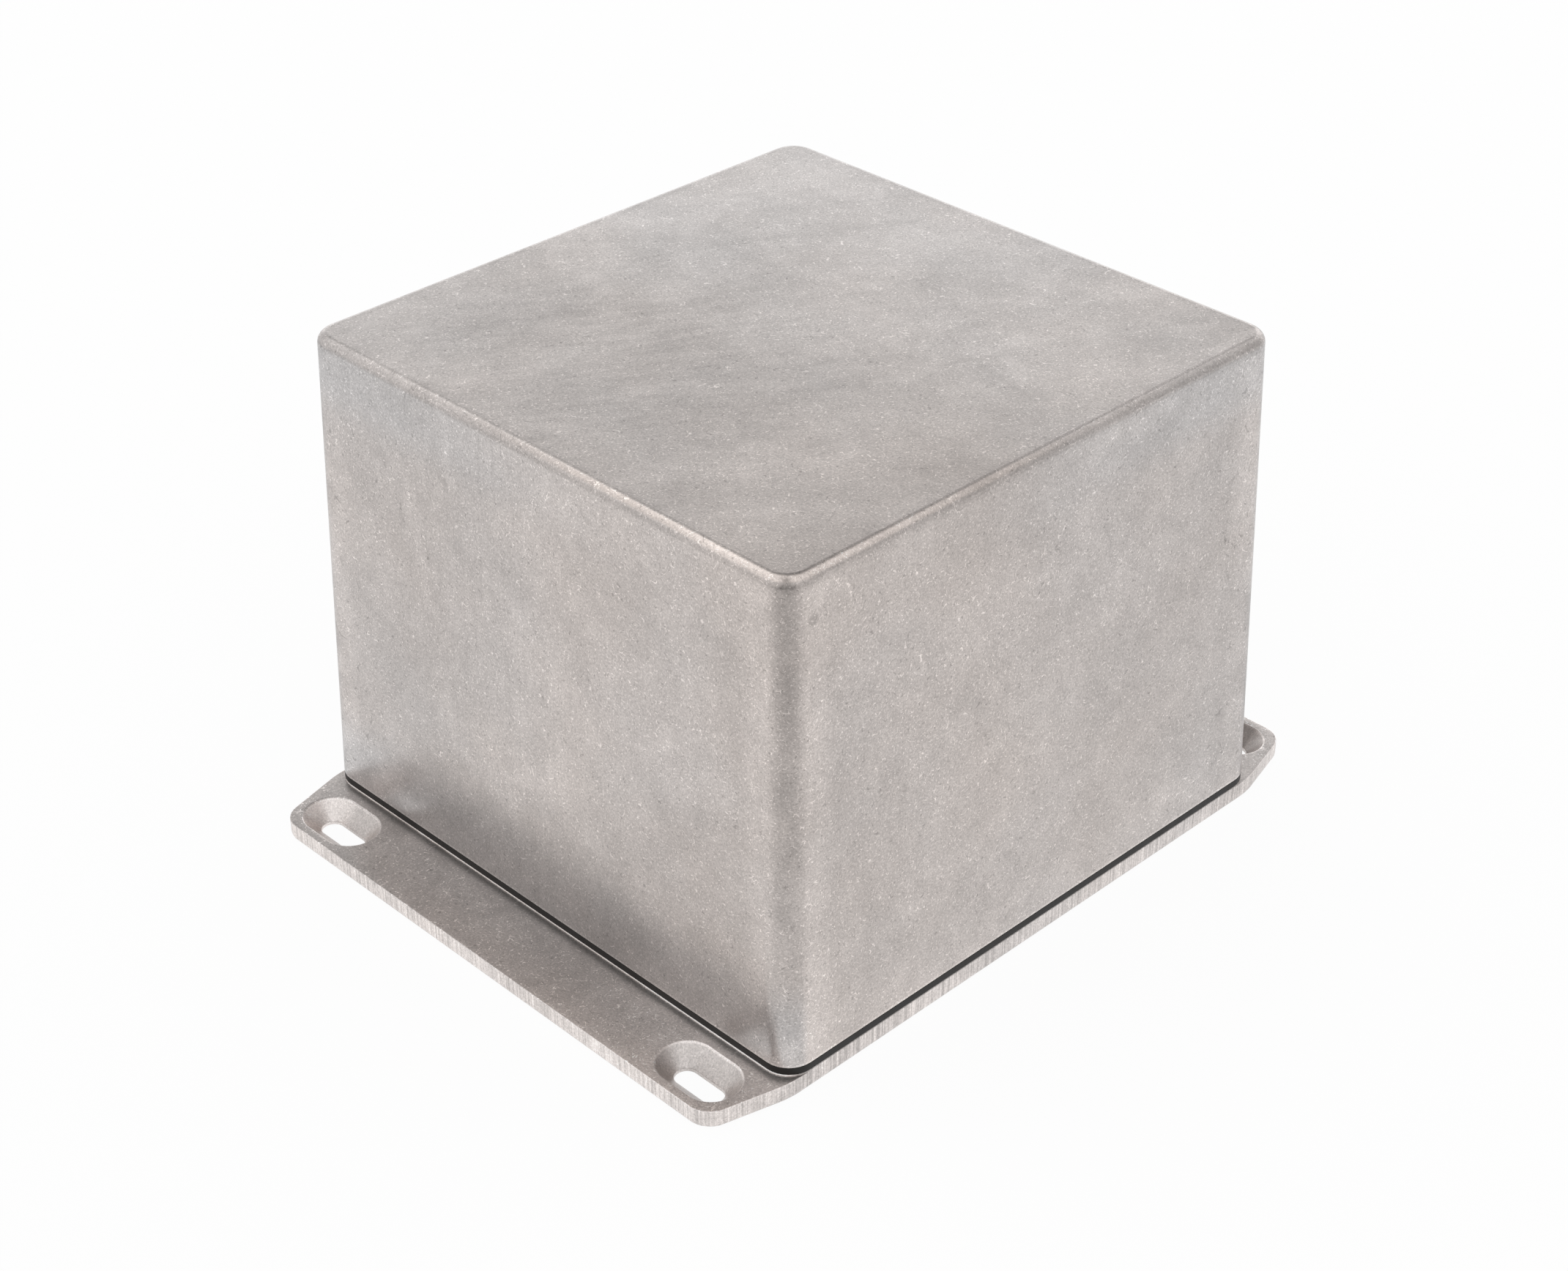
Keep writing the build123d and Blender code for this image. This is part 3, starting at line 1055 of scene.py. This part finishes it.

# %% [markdown]
# ## Where a point is on the body
#
# Wear isn't spread evenly. It sits on edges and corners, and this box took most of its blows at one
# corner. Wear could be painted by hand, but that needs a UV map and an image. Here it comes from
# a few distances instead: how far a point is below the top, from the nearest upright corner or
# towards the near one. The same distances place the painted highlights and painted shade. They
# belong to the casting, so the wear and the painted light stay put when the camera moves.

# %% Distances and patterns on the body
NEAR_CORNER = (BODY_WIDTH / 2, -BODY_DEPTH / 2, TOP_Z)
MIDDLE_PLACE_ON_TOP = (-20 * MM, -30 * MM, TOP_Z)
BROWN_SPOT = mm(57.9, -52.4, 87.6)
RING_MARK = mm(59.7, -9.8, 17.8)
HALF_TOP = BODY_WIDTH / 2 - (TOP_Z - RIM_Z) * math.tan(DRAFT)


def places_on_body(tree, place, axis):
    """Distances on the body, by name."""
    below_top = calculate(tree, "SUBTRACT", TOP_Z, axis["Z"])
    half_width = calculate(tree, "MULTIPLY_ADD", below_top, math.tan(DRAFT), HALF_TOP)
    beside_x, beside_y = (calculate(tree, "ABSOLUTE", axis[name]) for name in ("X", "Y"))
    inner = calculate(tree, "MINIMUM", beside_x, beside_y)
    return {
        "x": axis["X"], "y": axis["Y"], "z": axis["Z"], "beside y": beside_y, "below top": below_top,
        "above rim": calculate(tree, "SUBTRACT", axis["Z"], RIM_Z),
        "outermost": calculate(tree, "MAXIMUM", beside_x, beside_y),
        "from corner": calculate(tree, "SUBTRACT", half_width, inner),
        "nearness": along_direction(tree, place, towards(0, 0)),
        "from near corner": distance(tree, place, NEAR_CORNER),
        "from smeared place": distance(tree, place, MIDDLE_PLACE_ON_TOP),
        "from spot": distance(tree, place, BROWN_SPOT),
        "from ring mark": distance(tree, place, RING_MARK),
    }


def uneven(tree, place, turn, size, detail, distortion=0.0):
    """Noise from about -0.5 to 0.5, turned and then stretched to a size on each axis."""
    value = noise(tree, turned(tree, place, turn, size), detail=detail, distortion=distortion)
    return calculate(tree, "SUBTRACT", value, 0.5)


def patterns_on_body(tree, place, at):
    """Noises and strengths on the body, by name."""
    dirt = noise(tree, turned(tree, place, (30, 0, 20), mm(8, 8, 8)), detail=4.0)
    long_nicks = nick_mask(tree, place, (80, 30, 60), 3.4 * MM, 0.034, 0.62)
    return {
        "smears": uneven(tree, place, (0, 0, 60), mm(48, 13, 40), 3.0, distortion=0.9),
        "strokes": uneven(tree, place, (0, 0, 58), mm(8, 1.5, 20), 2.0),
        "blotches": uneven(tree, place, (10, 0, 40), mm(6, 6, 9), 3.0),
        "scuffs": ranged(tree, dirt, 0.50, 0.62),
        "pieces": ranged(tree, dirt, 0.40, 0.52),
        "gouges": product(tree, [long_nicks, ranged(tree, dirt, 0.42, 0.56, 0.25, 1.0)]),
        # strength of the edge's rub wear and painted highlight, falling away from the near corner
        "knocks": ranged(tree, at["from near corner"], *mm(8, 80), 0.34, 0.02),
        # painted shade: how much darker the top gets towards the front, where less light falls on it
        "rubbing": ranged(tree, at["nearness"], *mm(-70, 70), 0.01, 0.08, smooth=False),
    }


print("the body is", round(HALF_TOP / MM, 2), "mm from its middle to each side at the top")

# %% [markdown]
# ## The wear and painted light of the body
#
# Each kind of wear, and each painted highlight or painted shade, is one entry of a list: how much
# it changes the colour, and the steps whose product says where. A change of -0.12 makes the metal
# 12% darker. A step is a distance with its edges in millimetres, or a pattern. Two edges run from
# where the step is 0 to where it is 1, so they can run up or down. Four edges make a band.
#
# The rounded top edge is rubbed bright and carries a painted highlight as well, most of all by the
# near corner. At that corner itself painted shade breaks the highlight, where the edge would reflect
# the dark side by the camera. A thin painted highlight runs where the top turns into the edge, a
# painted dark line runs along the top beside it, and darker bands run low on the edge. The large
# faces rub on each other in the tumbler, which leaves broad smears and a few short strokes along
# one slanting direction. The top is darker round a place in its middle, and has painted shade
# towards the front. The near corner is blotchy, and the far ones are scuffed and gouged. The wall
# at the right has painted shade, and low down a lighter painted reflection of the floor. The walls
# above the flanges have a painted dark reflection of them, and the rim has a painted highlight.
# The brown spot and the faint ring are marks that everyone would notice, so they sit where the
# real ones are.

# %% List of wear and painted light
ON_TOP = ("below top", 0.1, 0)
ON_WALLS = ("below top", TOP_RADIUS / MM, TOP_RADIUS / MM + 1)
AT_LEFT = ("y", -55, -57)
AT_RIGHT = ("x", 50, 56)
FAR_AWAY = ("nearness", -130, -30, -10, 50)
BODY_WEAR_AND_PAINTED_LIGHT = {
    # rub wear plus a painted highlight along the rounded top edge
    "rubbed edge and painted highlight": (1.0, ("below top", 0.06, 0.22, 0.50, 1.0), ("from corner", 1.5, 3.0), ("knocks",)),
    # painted highlight: a thin light line where the top turns into the rounded edge, away from the near
    # corner
    "painted glint at the top of the edge": (0.27, ("below top", 0.008, 0.03, 0.10, 0.24), ("nearness", -10, 25, 60, 100)),
    # painted shade: a dark break in the highlight of the edge at the near corner, for the dark reflection
    # there
    "painted shade at the near corner's edge": (-0.34, ("below top", 0.1, 0.4, 1.3, 2.3), ("from corner", 3.0, 1.8),
                        ("from near corner", 11, 8)),
    # the rounded right edge darker away from the near corner
    "darker right edge away from the near corner": (-0.10, ("below top", 0.10, 0.24, 0.7, 1.2), AT_RIGHT, ("nearness", 80, 50)),
    # darker band low on the rounded edge, and a wider one under it at the right
    "darker band low on the edge": (-0.12, ("below top", 0.8, 1.2, 1.6, 1.9)),
    "darker band under the right edge": (-0.07, ("below top", 1.2, 1.6, 2.1, 2.9), AT_RIGHT),
    # painted reflection: a thin dark line along the top just inside the rounded edge, broken into pieces
    "painted dark line beside the edge": (-0.05, ("outermost", 54.9, 55.3, 55.9, 56.3), ON_TOP, ("pieces",)),
    "smears": (0.36, ("smears",), ON_TOP),
    # darker round a place in the middle of the top
    "smeared place": (-0.10, ("from smeared place", 62, 12), ON_TOP),
    "strokes": (0.32, ("strokes",), ("from smeared place", 62, 12), ON_TOP),
    # painted shade: the top darker towards the front
    "painted shade on the front of the top": (-1.0, ("rubbing",), ON_TOP),
    "beside the corners": (0.11, ("from corner", 3.2, 4.4, 6.5, 11), ON_WALLS),
    "near corner": (0.60, ("blotches",), ("from corner", 5, 1.5), ("nearness", 66, 74), ON_WALLS),
    "scuffs": (-0.22, ("scuffs",), ("from corner", 8, 1), FAR_AWAY),
    "gouges": (-0.36, ("gouges",), ("from corner", 30, 6), FAR_AWAY, ON_WALLS),
    "haze": (0.09, ("below top", 1.0, 2.5, 6, 13), AT_LEFT, ("x", -28, -10, 22, 42)),
    # painted shade: the whole wall at the right a little darker
    "painted shade on the wall at the right": (-0.02, AT_RIGHT, ON_WALLS),
    # painted reflection: the wall at the right lighter low down, where it reflects the white floor
    "painted reflection low on the wall at the right": (0.08, ("z", 17, 10), AT_RIGHT),
    # painted reflection: the walls above the flanges darker low down, where they reflect the dark flange tops
    "painted dark reflection of the flanges": (-0.11, ("z", 34, 15), ("beside y", 55, 57), ("x", -42, -22)),
    # painted highlight: a light line along the eased rim
    "painted highlight on the rim": (0.22, ("above rim", -1, 0, 0.35, 0.55)),
    "brown spot": (-0.23, ("from spot", 1.4, 0.6)),
    "ring mark": (-0.06, ("from ring mark", 2.6, 4.2, 4.8, 6.2)),
}


def soft_step(tree, at, name, *edges):
    """One step of the list: a pattern as it is, or a distance within its edges."""
    if len(edges) == 4:
        return band(tree, at[name], *mm(*edges))
    if len(edges) == 2:
        ends = (0.0, 1.0) if edges[0] < edges[1] else (1.0, 0.0)
        return ranged(tree, at[name], *mm(*sorted(edges)), *ends)
    return at[name]


def listed_wear_and_painted_light(tree, at):
    """Shades of all the wear and painted light in the list."""
    masks = [(product(tree, [soft_step(tree, at, *step) for step in steps]), change)
             for change, *steps in BODY_WEAR_AND_PAINTED_LIGHT.values()]
    return [worn_or_painted_light(tree, mask, change) for mask, change in masks]


print(len(BODY_WEAR_AND_PAINTED_LIGHT), "kinds of wear:", ", ".join(BODY_WEAR_AND_PAINTED_LIGHT))

# %% [markdown]
# ## Drag marks and warmth
#
# As a casting leaves its die, the walls take faint upright marks. The metal also has a slight
# tint. It is warmest at the near corner and along the rubbed top edge, whose painted highlight is
# cream, and coolest just under the far top edges and over the left flange. The tint isn't a shade:
# it says how much of the warm metal colour is mixed in.

# %% Body metal
DRAG_WIDTH, DRAG_LENGTH, DRAG_CONTRAST = 1.1 * MM, 18 * MM, 0.018
EXTRA_DRAG = 1.6


def drag_marks(tree, place, at):
    """Shade of the die's marks on the walls, strongest on the left wall."""
    marks = use_group(tree, MARKS, Vector=place, Width=DRAG_WIDTH, Length=DRAG_LENGTH, Contrast=DRAG_CONTRAST)
    strongest = product(tree, [soft_step(tree, at, "x", -45, -25, 0, 25), soft_step(tree, at, *AT_LEFT)])
    strength = calculate(tree, "MULTIPLY_ADD", strongest, EXTRA_DRAG, soft_step(tree, at, *ON_WALLS))
    return calculate(tree, "MULTIPLY_ADD", calculate(tree, "SUBTRACT", marks["Shade"], 1.0), strength, 1.0)


def body_warmth(tree, at):
    """How much of the warm colour there is on the body."""
    nearness = at["nearness"]
    cool_edge = product(tree, [soft_step(tree, at, "below top", 1, 2, 7, 16),
                               ranged(tree, nearness, *mm(10, 60), 0.40, 0.0)])
    over_flange = product(tree, [ranged(tree, at["z"], *mm(12, 24), 0.45, 0.0),
                                 soft_step(tree, at, *AT_LEFT)])
    # warmer along the rubbed top edge, where its painted highlight is cream
    worn_and_highlit_edge = product(tree, [soft_step(tree, at, "below top", 0, 0.2, 0.5, 0.9),
                               ranged(tree, nearness, *mm(20, 70), 0.0, 0.50)])
    warmth = ranged(tree, nearness, *mm(-60, 80), 0.15, 0.60, smooth=False)
    cooler = calculate(tree, "ADD", cool_edge, over_flange)
    return calculate(tree, "ADD", calculate(tree, "SUBTRACT", warmth, cooler), worn_and_highlit_edge)


def finish_body_metal():
    """Tumbled casting with drag marks and all of the wear and painted light in the list."""
    tree = body_metal.node_tree
    place, axis = object_place(tree)
    at = places_on_body(tree, place, axis)
    at.update(patterns_on_body(tree, place, at))
    shades = [drag_marks(tree, place, at)] + listed_wear_and_painted_light(tree, at)
    cast_metal(tree, place, shades, mottle=0.09, nick_brightness=0.50, duller=0.0,
               warmth=body_warmth(tree, at))


finish_body_metal()
print("body metal:", len(body_metal.node_tree.nodes), "nodes")

# %% [markdown]
# ## Finish of the lid
#
# The outer edge of the lid was linished on a belt. That leaves it brighter than the tumbled
# skin, with light ridges that run up and down every millimetre or two. Where it was linished is
# written on the mesh as an attribute when the lid is modelled, because the outline has
# corners and tapers that are hard to find from coordinates alone.
#
# The stones hardly reach into the slots and against the pad, so the skin is duller there. The slot
# walls are painted lighter, most of all at their left ends, and each slot has a thin painted
# highlight on its rim. The pad's edge has a painted highlight over the flanges and painted shade
# elsewhere.

# %% Lid metal
RIDGE_WIDTH, RIDGE_LENGTH, RIDGE_CONTRAST = 0.36 * MM, 40 * MM, 0.42
LONG_NICKS = ((20, 80, 40), 2.6 * MM, 0.020, 0.62)


def linished_edge(tree, place, along_flange, edge):
    """Shade of the belt's ridges on the outer edge, brighter at the flange ends."""
    ridges = use_group(tree, MARKS, Vector=place, Width=RIDGE_WIDTH, Length=RIDGE_LENGTH,
                       Contrast=RIDGE_CONTRAST)
    brighter = ranged(tree, along_flange, *mm(64, 74), 0.26, 0.43)
    gain = calculate(tree, "ADD", calculate(tree, "SUBTRACT", ridges["Shade"], 1.0), brighter)
    return calculate(tree, "MULTIPLY_ADD", edge, gain, 1.0)


def finish_lid_metal():
    """Tumbled casting whose outer edge was linished."""
    tree = lid_metal.node_tree
    place, axis = object_place(tree)
    edge = add_node(tree, "ShaderNodeAttribute", attribute_name="linished")["Fac"]
    along_flange = calculate(tree, "ABSOLUTE", axis["Y"])
    sunk = ranged(tree, axis["Z"], FLANGE_Z - 0.3 * MM, FLANGE_Z - 0.1 * MM, 1.0, 0.0)
    sunk_or_edge = calculate(tree, "MAXIMUM", sunk, edge)
    flange_top = calculate(tree, "SUBTRACT", 1.0, sunk_or_edge)
    in_slot = calculate(tree, "MAXIMUM", calculate(tree, "SUBTRACT", sunk, edge), 0.0)
    left_ends = ranged(tree, axis["X"], -SLOT_X - 4.5 * MM, -SLOT_X - 0.5 * MM, 1.0, 0.0)
    left_ends = product(tree, [left_ends, in_slot])
    slot_rim = band(tree, axis["Z"], *(FLANGE_Z + step for step in mm(-0.34, -0.24, -0.06, 0)))
    slot_rim = product(tree, [slot_rim, calculate(tree, "SUBTRACT", 1.0, edge)])
    pad_edge = ranged(tree, axis["Z"], FLANGE_Z + 0.03 * MM, FLANGE_Z + 0.12 * MM)
    # painted highlight on the pad's eased edge over the flanges, painted shade on it at the sides
    painted_shade_and_highlight = ranged(tree, along_flange, *mm(57, 59), -0.5, 0.9)
    lighter_at_right = product(tree, [ranged(tree, axis["X"], *mm(0, 50), -0.03, 0.24), flange_top])
    long_nicks = product(tree, [nick_mask(tree, place, *LONG_NICKS), flange_top])
    # painted light in this list: lighter slot walls and left ends, a highlight on the slot rims, the pad
    # edge's highlight and shade
    wear = [(pad_edge, painted_shade_and_highlight), (in_slot, 0.12), (left_ends, 0.30), (slot_rim, 0.22),
            (lighter_at_right, 1.0), (long_nicks, 0.45)]
    shades = [linished_edge(tree, place, along_flange, edge)] + [worn_or_painted_light(tree, *pair) for pair in wear]
    beside_pad = ranged(tree, along_flange, BODY_DEPTH / 2, BODY_DEPTH / 2 + 4 * MM, 1.0, 0.0)
    duller = calculate(tree, "MAXIMUM", sunk_or_edge, beside_pad)
    cast_metal(tree, place, shades, mottle=0.13, nick_brightness=0.70, duller=duller, warmth=0.35)


finish_lid_metal()
print("lid metal:", len(lid_metal.node_tree.nodes), "nodes")

# %% [markdown]
# ## Rubber and steel
#
# The gasket is black rubber with a fine dull grain and a little pale dust. The screws are turned
# steel: fine rings round each screw's own axis, which is found by folding the four screws onto
# one with absolute values.

# %% Gasket rubber
RUBBER_COLOUR = (0.0085, 0.0070, 0.0062)


def finish_rubber():
    """Matt black rubber with grain and dust."""
    tree = gasket_rubber.node_tree
    place, _ = object_place(tree)
    grain = use_group(tree, GRAIN, Vector=place, Size=0.25 * MM, Contrast=0.3)["Shade"]
    dust = use_group(tree, PATCHES, Vector=place, Size=3 * MM, Contrast=0.35)["Shade"]
    roughness = ranged(tree, dust, 0.6, 1.4, 0.36, 0.50)
    shader = set_surface(tree, RUBBER_COLOUR, [grain, dust], roughness, grain, 0.3, 0.03 * MM)
    shader.inputs["Specular IOR Level"].default_value = 0.28


finish_rubber()
print("rubber:", len(gasket_rubber.node_tree.nodes), "nodes")

# %% Screw steel
STEEL_COLOUR = (0.56, 0.545, 0.52)
RING_SPACING = 0.09 * MM


def finish_steel():
    """Turned steel with rings round the axis of each screw."""
    tree = screw_metal.node_tree
    place, axis = object_place(tree)
    from_axis = [calculate(tree, "SUBTRACT", calculate(tree, "ABSOLUTE", axis[name]), centre)
                 for name, centre in (("X", SCREW_X), ("Y", SCREW_Y))]
    radius = distance(tree, joined(tree, *from_axis, 0.0), (0, 0, 0))
    rings = noise(tree, joined(tree, calculate(tree, "DIVIDE", radius, RING_SPACING), 0.0, 0.0), detail=2.0)
    patches = use_group(tree, PATCHES, Vector=place, Size=3 * MM, Contrast=0.06)["Shade"]
    roughness = ranged(tree, patches, 0.85, 1.15, 0.34, 0.26)
    shades = [shade(tree, rings, 0.09), patches]
    shader = set_surface(tree, STEEL_COLOUR, shades, roughness, rings, 0.3, 0.02 * MM)
    shader.inputs["Metallic"].default_value = 1.0


finish_steel()
print("steel:", len(screw_metal.node_tree.nodes), "nodes")

# %% [markdown]
#
# The finished pieces have to fill the same box as the imported model. Both boxes are printed.

# %% Boxes of the imported model and the finished pieces
visual_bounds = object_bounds()
boxes = {"cad": cad_bounds, "visual": visual_bounds}
for name, box in boxes.items():
    print(name, "box:", [[round(value / MM, 3) for value in corner] for corner in box])
